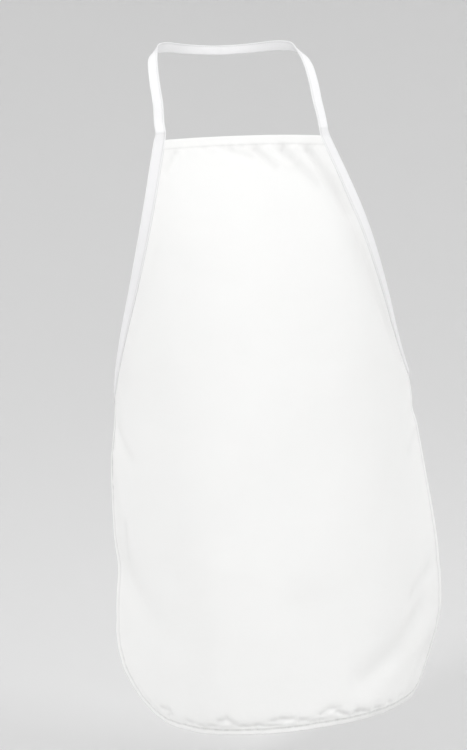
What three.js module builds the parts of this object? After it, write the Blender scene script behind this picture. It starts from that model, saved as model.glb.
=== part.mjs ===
// A bib apron as it hangs: one cloth panel with a bib hem, a skirt hem and two bound arm curves,
// a neck strap, two waist ties, their knot and the two tails that hang from it.
// Millimetres, +Z up, the wearer faces -Y, the origin is the back of the neck strap.
// Left and right are as seen from the front.
import * as THREE from "three";

// Sizes of the flat cloth
const CLOTH_LENGTH = 711;
const SKIRT_WIDTH = 560;
const BIB_WIDTH = 221;
const TIE_DROP = 290;
const CORNER_RADIUS = 104;
const BIB_HEM_WIDTH = 12;
const SKIRT_HEM_WIDTH = 8;
const TAPE_WIDTH = 12.7;
const CLOTH_THICKNESS = 1;
const TAPE_THICKNESS = 1;
const STRAP_THICKNESS = 2;
const GAP = 0.3;

// Sizes of the hanging shape
const BODY_DEPTH = 197;
const STRAP_RISE = 150;
const BACK_DEPTH = 48;
const KNOT_WIDTH = 32;
const KNOT_HEIGHT = 22;
const KNOT_DEPTH = 15;
const KNOT_RISE = 4;
const TIE_SINK = 14;
const TAIL_LENGTH = 250;
const TAIL_SPREAD = 8;

// The section's turn at a wrap of 1: WRAP_TURN degrees at WRAP_REACH from the middle
const WRAP_TURN = 96;
const WRAP_REACH = 240;
const WRAP_POWER = 1.3;
const WRAP_EASE = 0.08;
const FLARE_START = 0.536;

// Numbers of mesh steps
const ARM_STEPS = 16;
const SIDE_STEPS = 15;
const CORNER_STEPS = 4;
const BOTTOM_STEPS = 11;
const SECTION_STEPS = 32;
const STRAP_STEPS = 84;
const TIE_STEPS = 28;
const TAIL_STEPS = 16;

// The arm curve's control points, in shares of the step from bib to skirt and of TIE_DROP
const ARM_CURVE = [
  { out: 0, down: 0 },
  { out: 0.234, down: 0.412 },
  { out: 0.464, down: 0.824 },
  { out: 1, down: 1 },
];

// The hanging section at each level: drop is a share of CLOTH_LENGTH, forward of BODY_DEPTH and
// sideways of half SKIRT_WIDTH; wrap scales the turn round the body, flare is degrees at the side
const DRAPE = [
  { drop: 0, forward: 0.757, sideways: 0, wrapLeft: 0.44, wrapRight: 0.56, flareLeft: 0, flareRight: 0 },
  { drop: 0.13, forward: 0.868, sideways: 0.021, wrapLeft: 0.63, wrapRight: 0.62, flareLeft: 0, flareRight: 0 },
  { drop: 0.26, forward: 0.944, sideways: 0.032, wrapLeft: 0.81, wrapRight: 0.76, flareLeft: 1.5, flareRight: 1 },
  { drop: 0.4, forward: 0.986, sideways: 0.025, wrapLeft: 0.92, wrapRight: 0.78, flareLeft: 4, flareRight: 15 },
  { drop: 0.56, forward: 1, sideways: 0.02, wrapLeft: 0.92, wrapRight: 0.77, flareLeft: 19, flareRight: 30 },
  { drop: 0.78, forward: 0.997, sideways: 0.029, wrapLeft: 0.94, wrapRight: 0.75, flareLeft: 35, flareRight: 41 },
  { drop: 1, forward: 0.956, sideways: 0.05, wrapLeft: 0.95, wrapRight: 0.83, flareLeft: 63, flareRight: 47 },
];

// One row per fold: its ends in shares of half SKIRT_WIDTH and of CLOTH_LENGTH,
// its half width and its height in millimetres (a valley is negative)
const FOLDS = [
  { s0: 0.26, v0: 0.03, s1: 0.39, v1: 0.105, width: 11, height: -1.6 },
  { s0: 0.39, v0: 0.105, s1: 0.47, v1: 0.22, width: 13, height: -2.4 },
  { s0: 0.47, v0: 0.22, s1: 0.64, v1: 0.32, width: 14, height: -2.2 },
  { s0: -0.9, v0: 0.47, s1: -0.68, v1: 0.54, width: 15, height: -3 },
  { s0: -0.93, v0: 0.54, s1: -0.8, v1: 0.7, width: 18, height: 2 },
  { s0: -0.95, v0: 0.74, s1: -0.6, v1: 0.84, width: 26, height: -5 },
  { s0: 0.99, v0: 0.49, s1: 0.88, v1: 0.53, width: 12, height: -4 },
  { s0: 0.96, v0: 0.77, s1: 0.64, v1: 0.83, width: 15, height: -4 },
  { s0: 0.8, v0: 0.84, s1: 0.28, v1: 0.93, width: 18, height: -4 },
  { s0: 0.94, v0: 0.885, s1: 0.46, v1: 0.94, width: 16, height: 4 },
  { s0: -0.3, v0: 0.72, s1: -0.42, v1: 1, width: 24, height: 3 },
  { s0: 0.08, v0: 0.8, s1: 0.1, v1: 1, width: 26, height: -2.5 },
];

// Half of the neck strap, from the bib's corner to the middle of the back: side is a share of the
// strap's reach at the bib, forward of BODY_DEPTH and drop of STRAP_RISE; heading and lean are
// the degrees of the tape's width direction, towards the back and up
const STRAP_PATH = [
  { side: 0.974, forward: 0.655, drop: 0.847, heading: 14, lean: 0 },
  { side: 0.962, forward: 0.604, drop: 0.68, heading: 10, lean: 0 },
  { side: 0.966, forward: 0.533, drop: 0.5, heading: 5, lean: 4 },
  { side: 0.957, forward: 0.442, drop: 0.313, heading: 0, lean: 16 },
  { side: 0.93, forward: 0.36, drop: 0.19, heading: 0, lean: 34 },
  { side: 0.86, forward: 0.27, drop: 0.09, heading: 20, lean: 56 },
  { side: 0.69, forward: 0.158, drop: 0.03, heading: 45, lean: 74 },
  { side: 0.46, forward: 0.062, drop: 0.008, heading: 65, lean: 84 },
  { side: 0.23, forward: 0.014, drop: 0, heading: 80, lean: 90 },
];

// A waist tie from its corner to the knot: out is a share of the sideways step that is left,
// back of the step to the knot's depth and sink of TIE_SINK
const TIE_PATH = [
  { out: 0.995, back: 0.35, sink: 0.95 },
  { out: 0.93, back: 0.63, sink: 1.2 },
  { out: 0.8, back: 0.83, sink: 1.05 },
  { out: 0.55, back: 0.96, sink: 0.7 },
  { out: 0.28, back: 1, sink: 0.3 },
];

// A tail below the knot: out is a share of TAIL_SPREAD and down of TAIL_LENGTH
const TAIL_PATH = [
  { out: 1, down: 0, back: 0 },
  { out: 1.25, down: 0.12, back: 2 },
  { out: 2.1, down: 0.5, back: 5 },
  { out: 2.6, down: 1, back: 3 },
];

// The knot's outline: along is a share of half KNOT_WIDTH, high and deep of its other half sizes
const KNOT_SHAPE = [
  { along: -1, high: 0.66, deep: 0.42 },
  { along: -0.86, high: 0.86, deep: 0.76 },
  { along: -0.5, high: 0.97, deep: 0.97 },
  { along: 0, high: 1, deep: 1 },
  { along: 0.5, high: 0.97, deep: 0.97 },
  { along: 0.86, high: 0.86, deep: 0.76 },
  { along: 1, high: 0.66, deep: 0.42 },
];
const KNOT_SIDES = 20;

const skirtHalf = SKIRT_WIDTH / 2;
const HEM_SHARE = SKIRT_HEM_WIDTH / TAPE_WIDTH;
const bibHalf = BIB_WIDTH / 2;
const radians = (degrees) => (degrees * Math.PI) / 180;
const mix = (a, b, share) => a + (b - a) * share;

// A smooth curve through a table's column, read at one share.
function column(rows, key, by, share) {
  const last = rows.length - 1;
  let i = 0;
  while (i < last - 1 && share > rows[i + 1][by]) i += 1;
  const slope = (k) => {
    const before = Math.max(k - 1, 0);
    const after = Math.min(k + 1, last);
    if (before === k || after === k) {
      return (rows[after][key] - rows[before][key]) / (rows[after][by] - rows[before][by]);
    }
    const h0 = rows[k][by] - rows[before][by];
    const h1 = rows[after][by] - rows[k][by];
    const d0 = (rows[k][key] - rows[before][key]) / h0;
    const d1 = (rows[after][key] - rows[k][key]) / h1;
    return (d0 * h1 + d1 * h0) / (h0 + h1);
  };
  const h = rows[i + 1][by] - rows[i][by];
  const u = THREE.MathUtils.clamp((share - rows[i][by]) / h, 0, 1);
  const p0 = (1 + 2 * u) * (1 - u) ** 2 * rows[i][key];
  const p1 = u * u * (3 - 2 * u) * rows[i + 1][key];
  const m0 = u * (1 - u) ** 2 * h * slope(i);
  const m1 = u * u * (u - 1) * h * slope(i + 1);
  return p0 + p1 + m0 + m1;
}

// The hanging cloth without its folds, s across from the middle and v down from the bib's top.
function drape(s, v) {
  const level = v / CLOTH_LENGTH;
  const side = s < 0 ? "Left" : "Right";
  const wrap = column(DRAPE, "wrap" + side, "drop", level);
  const flare = radians(column(DRAPE, "flare" + side, "drop", level));
  const reach = Math.abs(s);
  const step = reach / SECTION_STEPS;
  let x = 0;
  let y = 0;
  for (let k = 0; k < SECTION_STEPS; k += 1) {
    const at = (k + 0.5) * step;
    const share = at / WRAP_REACH;
    const turn = (radians(WRAP_TURN) * share ** WRAP_POWER) / (1 + WRAP_EASE * share ** 4);
    const open = THREE.MathUtils.clamp((at / skirtHalf - FLARE_START) / (1 - FLARE_START), 0, 1.2);
    const angle = wrap * turn - flare * open * open;
    x += Math.cos(angle) * step;
    y += Math.sin(angle) * step;
  }
  return new THREE.Vector3(
    Math.sign(s) * x + column(DRAPE, "sideways", "drop", level) * skirtHalf,
    y - column(DRAPE, "forward", "drop", level) * BODY_DEPTH,
    -STRAP_RISE - v,
  );
}

// The front normal of a surface f(s, v).
function frontNormal(f, s, v) {
  const step = 1.5;
  const across = f(s + step, v).sub(f(s - step, v));
  const down = f(s, v + step).sub(f(s, v - step));
  return down.cross(across).normalize();
}

// The sum of all folds at one point of the flat cloth: each is a bell across its line and fades
// out past the line's ends.
function foldHeight(s, v) {
  let height = 0;
  for (const fold of FOLDS) {
    const s0 = fold.s0 * skirtHalf;
    const v0 = fold.v0 * CLOTH_LENGTH;
    const ds = fold.s1 * skirtHalf - s0;
    const dv = fold.v1 * CLOTH_LENGTH - v0;
    const along = ((s - s0) * ds + (v - v0) * dv) / (ds * ds + dv * dv);
    const near = THREE.MathUtils.clamp(along, 0, 1);
    const away = Math.hypot(s - s0 - ds * near, v - v0 - dv * near) / fold.width;
    height += fold.height * Math.exp(-away * away);
  }
  return height;
}

// The hanging cloth's middle surface with its folds.
function cloth(s, v) {
  return drape(s, v).addScaledVector(frontNormal(drape, s, v), foldHeight(s, v));
}

// One point of the flat cloth on its hanging surface, with the normal.
function lay(s, v) {
  return { at: cloth(s, v), normal: frontNormal(cloth, s, v) };
}

// A place on the straight line between two laid places.
function between(a, b, share) {
  return {
    at: a.at.clone().lerp(b.at, share),
    normal: a.normal.clone().lerp(b.normal, share).normalize(),
  };
}

// A point of the arm curve on the right and the direction along it.
function armPoint(t) {
  const weight = [(1 - t) ** 3, 3 * t * (1 - t) ** 2, 3 * t * t * (1 - t), t ** 3];
  const slope = [-3 * (1 - t) ** 2, 3 * (1 - t) * (1 - 3 * t), 3 * t * (2 - 3 * t), 3 * t * t];
  const point = { s: 0, v: 0, ds: 0, dv: 0 };
  ARM_CURVE.forEach((row, k) => {
    const s = mix(bibHalf, skirtHalf, row.out);
    const v = row.down * TIE_DROP;
    point.s += weight[k] * s;
    point.v += weight[k] * v;
    point.ds += slope[k] * s;
    point.dv += slope[k] * v;
  });
  const length = Math.hypot(point.ds, point.dv);
  point.ds /= length;
  point.dv /= length;
  return point;
}

// The edge of the right half from the bib's corner down to the middle of the rounded corner, and
// on to the middle of the bottom: each station has its point and the inset point beside it.
function rightEdge() {
  const side = [];
  for (let k = 0; k <= ARM_STEPS; k += 1) {
    const p = armPoint(k / ARM_STEPS);
    side.push({ s: p.s, v: p.v, insetS: p.s - p.dv * TAPE_WIDTH, insetV: p.v + p.ds * TAPE_WIDTH });
  }
  const first = armPoint(0);
  side[0].insetV = BIB_HEM_WIDTH;
  side[0].insetS = bibHalf + (BIB_HEM_WIDTH * first.ds - TAPE_WIDTH) / first.dv;
  const from = TIE_DROP + TAPE_WIDTH / armPoint(1).ds + 2 * GAP;
  const to = CLOTH_LENGTH - CORNER_RADIUS;
  for (let k = 0; k <= SIDE_STEPS; k += 1) {
    const v = mix(from, to, k / SIDE_STEPS);
    side.push({ s: skirtHalf, v, insetS: skirtHalf - TAPE_WIDTH, insetV: v });
  }
  const bottom = [];
  for (let k = 1; k <= 2 * CORNER_STEPS; k += 1) {
    const angle = (k / CORNER_STEPS) * (Math.PI / 4);
    const inset = CORNER_RADIUS - TAPE_WIDTH;
    const station = {
      s: skirtHalf - CORNER_RADIUS + CORNER_RADIUS * Math.cos(angle),
      v: to + CORNER_RADIUS * Math.sin(angle),
      insetS: skirtHalf - CORNER_RADIUS + inset * Math.cos(angle),
      insetV: to + inset * Math.sin(angle),
    };
    (k <= CORNER_STEPS ? side : bottom).push(station);
  }
  for (let k = 1; k <= BOTTOM_STEPS; k += 1) {
    const s = (skirtHalf - CORNER_RADIUS) * (1 - k / BOTTOM_STEPS);
    bottom.push({ s, v: CLOTH_LENGTH, insetS: s, insetV: CLOTH_LENGTH - TAPE_WIDTH });
  }
  return { side, bottom };
}

const mirrored = (station) => ({ ...station, s: -station.s, insetS: -station.insetS });

// The whole edge, clockwise from the bib's left corner as seen from the front.
function clothEdge() {
  const { side, bottom } = rightEdge();
  const across = 2 * bottom.length;
  const top = [];
  for (let k = 1; k < across; k += 1) {
    const share = (2 * k) / across - 1;
    top.push({
      s: share * bibHalf,
      v: 0,
      insetS: share * side[0].insetS,
      insetV: BIB_HEM_WIDTH,
    });
  }
  const right = [...side, ...bottom];
  const left = right.slice(0, -1).map(mirrored).reverse();
  const loop = [left[left.length - 1], ...top, ...right, ...left.slice(0, -1)];
  return { loop, across, down: side.length - 1 };
}

// A closed mesh from its points and faces, turned so that it faces out.
function solid(points, faces) {
  let volume = 0;
  const [a, b, c] = [new THREE.Vector3(), new THREE.Vector3(), new THREE.Vector3()];
  for (const face of faces) {
    a.copy(points[face[0]]);
    b.copy(points[face[1]]);
    c.copy(points[face[2]]);
    volume += a.dot(b.cross(c));
  }
  const index = faces.flatMap((face) => (volume < 0 ? [face[0], face[2], face[1]] : face));
  const geometry = new THREE.BufferGeometry();
  geometry.setAttribute(
    "position",
    new THREE.Float32BufferAttribute(points.flatMap((p) => [p.x, p.y, p.z]), 3),
  );
  geometry.setIndex(index);
  geometry.computeVertexNormals();
  return geometry;
}

// The cloth panel: an even grid inside the inset line, one strip round it and a rim.
function panelGeometry(edge) {
  const { loop, across, down } = edge;
  const inner = loop.map((p) => [p.insetS, p.insetV]);
  const top = (i) => inner[i];
  const right = (j) => inner[across + j];
  const bottom = (i) => inner[2 * across + down - i];
  const left = (j) => inner[(loop.length - j) % loop.length];
  const flat = [];
  for (let j = 0; j <= down; j += 1) {
    for (let i = 0; i <= across; i += 1) {
      const [a, b] = [i / across, j / down];
      const blend = (k) =>
        mix(top(i)[k], bottom(i)[k], b) +
        mix(left(j)[k], right(j)[k], a) -
        mix(mix(left(0)[k], right(0)[k], a), mix(left(down)[k], right(down)[k], a), b);
      flat.push([blend(0), blend(1)]);
    }
  }
  const cell = (i, j) => j * (across + 1) + i;
  const ring = [];
  for (let i = 0; i < across; i += 1) ring.push(cell(i, 0));
  for (let j = 0; j < down; j += 1) ring.push(cell(across, j));
  for (let i = across; i > 0; i -= 1) ring.push(cell(i, down));
  for (let j = down; j > 0; j -= 1) ring.push(cell(0, j));
  const rim = flat.length;
  loop.forEach((p) => flat.push([p.s, p.v]));
  const quads = [];
  for (let j = 0; j < down; j += 1) {
    for (let i = 0; i < across; i += 1) {
      quads.push([cell(i, j), cell(i + 1, j), cell(i + 1, j + 1), cell(i, j + 1)]);
    }
  }
  const next = (k) => (k + 1) % loop.length;
  const middle = rim + loop.length;
  loop.forEach((p, k) => {
    quads.push([rim + k, rim + next(k), middle + next(k), middle + k]);
    quads.push([middle + k, middle + next(k), ring[next(k)], ring[k]]);
  });
  const laid = flat.map(([s, v]) => lay(s, v));
  loop.forEach((p, k) => laid.push(between(laid[rim + k], laid[ring[k]], HEM_SHARE)));
  const half = CLOTH_THICKNESS / 2;
  const points = [
    ...laid.map((p) => p.at.clone().addScaledVector(p.normal, half)),
    ...laid.map((p) => p.at.clone().addScaledVector(p.normal, -half)),
  ];
  const back = laid.length;
  const faces = [];
  for (const [a, b, c, d] of quads) {
    faces.push([a, d, c], [a, c, b]);
    faces.push([back + a, back + c, back + d], [back + a, back + b, back + c]);
  }
  loop.forEach((p, k) => {
    const [a, b] = [rim + k, rim + next(k)];
    faces.push([a, b, back + b], [a, back + b, back + a]);
  });
  return solid(points, faces);
}

// A solid swept through rings of points with flat ends: a ring's points go along one side of its
// section and come back along the other, so that each has its partner across.
function sweep(rings) {
  const count = rings[0].length;
  const points = rings.flat();
  const faces = [];
  for (let r = 0; r < rings.length - 1; r += 1) {
    for (let k = 0; k < count; k += 1) {
      const [a, b] = [r * count + k, r * count + ((k + 1) % count)];
      faces.push([a, b, b + count], [a, b + count, a + count]);
    }
  }
  const last = (rings.length - 1) * count;
  for (let k = 0; k < count / 2 - 1; k += 1) {
    const [a, b, c, d] = [k, k + 1, count - 2 - k, count - 1 - k];
    faces.push([a, c, b], [a, d, c]);
    faces.push([last + a, last + b, last + c], [last + a, last + c, last + d]);
  }
  return solid(points, faces);
}

// A band along the cloth's edge: its section's points are shares of the way in from each
// station's edge point to its inset point, and heights out from the cloth's middle.
function bandGeometry(stations, section) {
  const rings = stations.map((station) => {
    const outer = lay(station.s, station.v);
    const inner = lay(station.insetS, station.insetV);
    return section.map(([share, height]) => {
      const place = between(outer, inner, share);
      return place.at.addScaledVector(place.normal, height);
    });
  });
  return sweep(rings);
}

const slot = CLOTH_THICKNESS / 2 + GAP;
const bound = slot + TAPE_THICKNESS;
const slotEnd = -GAP / TAPE_WIDTH;
const foldEnd = -(GAP + TAPE_THICKNESS) / TAPE_WIDTH;
const BINDING_SECTION = [
  [1, bound],
  [HEM_SHARE, bound],
  [foldEnd, bound],
  [foldEnd, -bound],
  [HEM_SHARE, -bound],
  [1, -bound],
  [1, -slot],
  [HEM_SHARE, -slot],
  [slotEnd, -slot],
  [slotEnd, slot],
  [HEM_SHARE, slot],
  [1, slot],
];

// The stations of the right arm curve. The tape starts and ends square, clear of the cloth's
// corners; its second station runs level with the bib's top edge.
function armStations() {
  const arm = rightEdge().side.slice(0, ARM_STEPS + 1);
  const past = (t, on) => {
    const p = armPoint(t);
    const [s, v] = [p.s + p.ds * on, p.v + p.dv * on];
    return { s, v, insetS: s - p.dv * TAPE_WIDTH, insetV: v + p.ds * TAPE_WIDTH };
  };
  const first = armPoint(0);
  const last = armPoint(1);
  const level = { s: bibHalf, v: 0, insetS: bibHalf - TAPE_WIDTH / first.dv, insetV: 0 };
  return [
    past(0, -(TAPE_WIDTH * first.ds) / first.dv - GAP),
    level,
    ...arm.slice(1),
    past(1, (TAPE_WIDTH * last.dv) / last.ds + GAP),
  ];
}

// The hems lie behind the cloth: the bib's as deep as the inset strip, the skirt's to HEM_SHARE.
const BIB_HEM_SECTION = [
  [0, -slot],
  [HEM_SHARE, -slot],
  [1, -slot],
  [1, -bound],
  [HEM_SHARE, -bound],
  [0, -bound],
];
const SKIRT_HEM_SECTION = [
  [0, -slot],
  [HEM_SHARE, -slot],
  [HEM_SHARE, -bound],
  [0, -bound],
];

// The bib hem lies between the two bindings.
function bibHemStations() {
  const end = bibHalf - (TAPE_WIDTH + GAP) / armPoint(0).dv;
  const { loop, across } = clothEdge();
  return loop.slice(0, across).filter((station) => Math.abs(station.s) < end);
}

// The skirt hem runs from below one tie corner round the bottom to the other.
function skirtHemStations() {
  const { side, bottom } = rightEdge();
  const right = [...side.slice(ARM_STEPS + 1), ...bottom];
  return [...right, ...right.slice(0, -1).map(mirrored).reverse()];
}

// A flat tape along a curve through its points; each point has its width direction.
function tapeGeometry(rows, width, thickness, steps) {
  const curve = new THREE.CatmullRomCurve3(rows.map((row) => row.at), false, "centripetal");
  const rings = [];
  for (let k = 0; k <= steps; k += 1) {
    const t = k / steps;
    const at = curve.getPoint(t);
    const along = curve.getTangent(t);
    const place = t * (rows.length - 1);
    const i = Math.min(Math.floor(place), rows.length - 2);
    const across = rows[i].width.clone().lerp(rows[i + 1].width, place - i);
    across.addScaledVector(along, -across.dot(along)).normalize();
    const out = along.clone().cross(across).normalize();
    const corner = (a, b) =>
      at.clone().addScaledVector(across, (a * width) / 2).addScaledVector(out, (b * thickness) / 2);
    rings.push([corner(-1, -1), corner(1, -1), corner(1, 1), corner(-1, 1)]);
  }
  return sweep(rings);
}

// The middle of a binding's end and the directions across it and along it, for the tape that
// goes on from there.
function bindingEnd(side, end) {
  const stations = armStations();
  const last = stations.length - 1;
  const station = end === "top" ? stations[0] : stations[last];
  const before = end === "top" ? stations[1] : stations[last - 1];
  const place = (p) =>
    cloth(side * mix(p.s, p.insetS, 0.5), mix(p.v, p.insetV, 0.5));
  const at = place(station);
  const along = at.clone().sub(place(before)).normalize();
  const across = cloth(side * station.s, station.v);
  across.sub(cloth(side * station.insetS, station.insetV)).normalize();
  return { at: at.addScaledVector(along, GAP), along, across };
}

// The first two rows of a tape that goes on straight from a binding's end.
function tapeStart(end) {
  const next = end.at.clone().addScaledVector(end.along, TAPE_WIDTH / 2);
  return [
    { at: end.at, width: end.across },
    { at: next, width: end.across },
  ];
}

// The neck strap from the right binding over the shoulder, round the neck and down to the left.
function neckStrapRows() {
  const reach = bibHalf - TAPE_WIDTH / 2;
  const right = STRAP_PATH.map((row) => {
    const heading = radians(row.heading);
    const lean = radians(row.lean);
    return {
      at: new THREE.Vector3(row.side * reach, -row.forward * BODY_DEPTH, -row.drop * STRAP_RISE),
      width: new THREE.Vector3(
        Math.cos(heading) * Math.cos(lean),
        Math.sin(heading) * Math.cos(lean),
        -Math.sin(lean),
      ),
    };
  });
  const back = { at: new THREE.Vector3(0, 0, 0), width: new THREE.Vector3(0, 0, -1) };
  const flip = new THREE.Vector3(-1, 1, 1);
  const left = right.map((row) => ({
    at: row.at.clone().multiply(flip),
    width: row.width.clone().multiply(flip),
  }));
  return [
    ...tapeStart(bindingEnd(1, "top")),
    ...right,
    back,
    ...left.reverse(),
    ...tapeStart(bindingEnd(-1, "top")).reverse(),
  ];
}

const knotPlace = new THREE.Vector3(
  DRAPE[3].sideways * skirtHalf,
  BACK_DEPTH,
  -STRAP_RISE - TIE_DROP + KNOT_RISE,
);

// A waist tie from its corner round to the side of the knot.
function tieRows(side) {
  const start = bindingEnd(side, "tie");
  const end = knotPlace.clone();
  end.x += side * (KNOT_WIDTH / 2 + GAP);
  const near = end.clone();
  near.x += (side * TAPE_WIDTH) / 2;
  const rows = TIE_PATH.map((row) => ({
    at: new THREE.Vector3(
      mix(end.x, start.at.x, row.out),
      mix(start.at.y, end.y, row.back),
      mix(start.at.z, end.z, row.back) - row.sink * TIE_SINK,
    ),
    width: new THREE.Vector3(0, 0, 1),
  }));
  const upright = new THREE.Vector3(0, 0, 1);
  return [...tapeStart(start), ...rows, { at: near, width: upright }, { at: end, width: upright }];
}

// A tail hangs from the underside of the knot.
function tailRows(side) {
  return TAIL_PATH.map((row) => ({
    at: new THREE.Vector3(
      knotPlace.x + side * row.out * TAIL_SPREAD,
      knotPlace.y + row.back,
      knotPlace.z - KNOT_HEIGHT / 2 - GAP - row.down * TAIL_LENGTH,
    ),
    width: new THREE.Vector3(1, 0, 0),
  }));
}

// The knot: rounded sections from one tie to the other.
function knotGeometry() {
  const rings = KNOT_SHAPE.map((row) => {
    const ring = [];
    for (let k = 0; k < KNOT_SIDES; k += 1) {
      const angle = (2 * Math.PI * k) / KNOT_SIDES;
      const [c, s] = [Math.cos(angle), Math.sin(angle)];
      const square = (value) => Math.sign(value) * Math.abs(value) ** 0.6;
      ring.push(
        new THREE.Vector3(
          knotPlace.x + (row.along * KNOT_WIDTH) / 2,
          knotPlace.y + (square(c) * row.deep * KNOT_DEPTH) / 2,
          knotPlace.z + (square(s) * row.high * KNOT_HEIGHT) / 2,
        ),
      );
    }
    return ring;
  });
  return sweep(rings);
}

const group = new THREE.Group();
group.name = "bib_apron";

function add(name, geometry, colour, roughness) {
  const material = new THREE.MeshStandardMaterial({ color: colour, roughness, metalness: 0 });
  const mesh = new THREE.Mesh(geometry, material);
  mesh.name = name;
  group.add(mesh);
}

const CLOTH_COLOUR = 0xf7f7f5;
const TAPE_COLOUR = 0xf3f3f5;
const CLOTH_ROUGHNESS = 0.92;
const TAPE_ROUGHNESS = 0.86;

add("body_panel", panelGeometry(clothEdge()), CLOTH_COLOUR, CLOTH_ROUGHNESS);
add("bib_hem", bandGeometry(bibHemStations(), BIB_HEM_SECTION), CLOTH_COLOUR, CLOTH_ROUGHNESS);
add("skirt_hem", bandGeometry(skirtHemStations(), SKIRT_HEM_SECTION), CLOTH_COLOUR, CLOTH_ROUGHNESS);
for (const [name, side] of [["left", -1], ["right", 1]]) {
  const stations = side > 0 ? armStations() : armStations().map(mirrored);
  add("arm_binding_" + name, bandGeometry(stations, BINDING_SECTION), TAPE_COLOUR, TAPE_ROUGHNESS);
  add(
    "waist_tie_" + name,
    tapeGeometry(tieRows(side), TAPE_WIDTH, STRAP_THICKNESS, TIE_STEPS),
    TAPE_COLOUR,
    TAPE_ROUGHNESS,
  );
  add(
    "tie_tail_" + name,
    tapeGeometry(tailRows(side), TAPE_WIDTH, STRAP_THICKNESS, TAIL_STEPS),
    TAPE_COLOUR,
    TAPE_ROUGHNESS,
  );
}
add(
  "neck_strap",
  tapeGeometry(neckStrapRows(), TAPE_WIDTH, STRAP_THICKNESS, STRAP_STEPS),
  TAPE_COLOUR,
  TAPE_ROUGHNESS,
);
add("tie_knot", knotGeometry(), TAPE_COLOUR, TAPE_ROUGHNESS);

export default group;
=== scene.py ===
"""A hanging bib apron of white woven cloth: hems, tape bindings, neck tape, waist ties, stitches.

Metres, +Z up, the front faces -Y. On the flat cloth s runs across from the middle and v down
from the bib's top edge. Left and right are as seen from the front.
"""

import math

import bpy
import numpy as np
from bpy.props import FloatProperty, FloatVectorProperty, PointerProperty
from mathutils import Matrix, Vector


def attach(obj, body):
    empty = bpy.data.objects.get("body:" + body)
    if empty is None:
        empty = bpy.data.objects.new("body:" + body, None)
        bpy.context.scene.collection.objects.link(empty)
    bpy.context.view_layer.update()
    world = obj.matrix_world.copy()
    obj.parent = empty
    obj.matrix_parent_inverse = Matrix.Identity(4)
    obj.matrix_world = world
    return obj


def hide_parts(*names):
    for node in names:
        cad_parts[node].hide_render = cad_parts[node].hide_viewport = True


bl_info = {
    "name": "Bib Apron",
    "version": (1, 0, 0),
    "blender": (4, 5, 0),
    "location": "View3D > Sidebar > Apron",
    "description": "Builds a hanging bib apron with its hems, bindings, tapes, knot and stitching",
    "category": "Add Mesh",
}

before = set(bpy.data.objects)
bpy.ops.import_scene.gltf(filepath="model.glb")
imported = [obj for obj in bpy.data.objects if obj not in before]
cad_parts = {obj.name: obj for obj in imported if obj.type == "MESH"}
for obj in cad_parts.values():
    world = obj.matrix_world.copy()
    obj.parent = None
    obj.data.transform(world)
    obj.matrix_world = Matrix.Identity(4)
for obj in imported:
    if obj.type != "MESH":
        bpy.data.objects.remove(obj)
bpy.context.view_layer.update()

# The hanging section at each level, as in the frame: drop is a share of the cloth's length, forward
# of the body's depth and sideways of half the skirt; wrap scales the turn round the body and
# flare is the degrees by which the sides open again.
DRAPE = np.array(
    [
        (0.00, 0.757, 0.000, 0.44, 0.56, 0.0, 0.0),
        (0.13, 0.868, 0.021, 0.63, 0.62, 0.0, 0.0),
        (0.26, 0.944, 0.032, 0.81, 0.76, 1.5, 1.0),
        (0.40, 0.986, 0.025, 0.92, 0.78, 4.0, 15.0),
        (0.56, 1.000, 0.020, 0.92, 0.77, 19.0, 30.0),
        (0.78, 0.997, 0.029, 0.94, 0.75, 35.0, 41.0),
        (1.00, 0.956, 0.050, 0.95, 0.83, 63.0, 47.0),
    ],
    dtype=[(name, float) for name in
           ("drop", "forward", "sideways", "wrap_left", "wrap_right", "flare_left", "flare_right")],
)
WRAP_TURN = math.radians(96)
WRAP_REACH = 0.240
FLARE_START = 0.536

# Broad folds of the frame's cloth: two ends in shares of half the skirt and of the length, then
# the half width and the height in metres. A valley is negative.
FOLDS = np.array(
    [
        (-0.92, 0.485, -0.72, 0.55, 0.015, -0.0013),
        (-0.93, 0.54, -0.80, 0.70, 0.018, 0.002),
        (-0.95, 0.74, -0.60, 0.84, 0.026, -0.005),
        (0.99, 0.49, 0.88, 0.53, 0.012, -0.0028),
        (0.93, 0.775, 0.64, 0.83, 0.015, -0.003),
        (0.78, 0.845, 0.28, 0.93, 0.018, -0.003),
        (0.88, 0.89, 0.46, 0.94, 0.016, 0.0015),
        (-0.30, 0.72, -0.42, 1.00, 0.024, 0.003),
        (0.08, 0.80, 0.10, 1.00, 0.026, -0.0025),
    ]
)

# Fine drag wrinkles in millimetres of the flat cloth: two ends, half width and height.
WRINKLES = np.array(
    [
        (-22, 17, 2, 27, 5.5, -1.2),
        (10, 19, 28, 40, 6.5, -2.0),
        (24, 17, 40, 38, 5.0, 0.8),
        (44, 20, 58, 38, 7.0, -2.8),
        (58, 38, 78, 60, 8.5, -2.2),
        (61, 17, 77, 40, 5.0, 1.0),
        (78, 20, 94, 46, 7.5, -2.9),
        (94, 46, 120, 92, 9.5, -2.0),
        (90, 17, 108, 46, 5.0, 1.0),
        (-88, 18, -103, 38, 4.5, -1.2),
        (-79, 17, -97, 40, 4.5, 0.6),
        (-258, 346, -208, 380, 6.0, -1.2),
        (-262, 362, -218, 402, 7.0, 0.7),
        (-238, 464, -242, 508, 6.0, -1.2),
        (258, 557, 190, 583, 8.0, -1.3),
        (246, 542, 200, 560, 9.0, 0.8),
        (214, 604, 84, 660, 12.0, -1.2),
        (240, 636, 130, 672, 10.0, 0.5),
        (246, 658, 166, 698, 12.0, -1.4),
        (252, 344, 206, 352, 8.0, 1.0),
        (268, 380, 226, 402, 7.0, -1.2),
    ]
)

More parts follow.
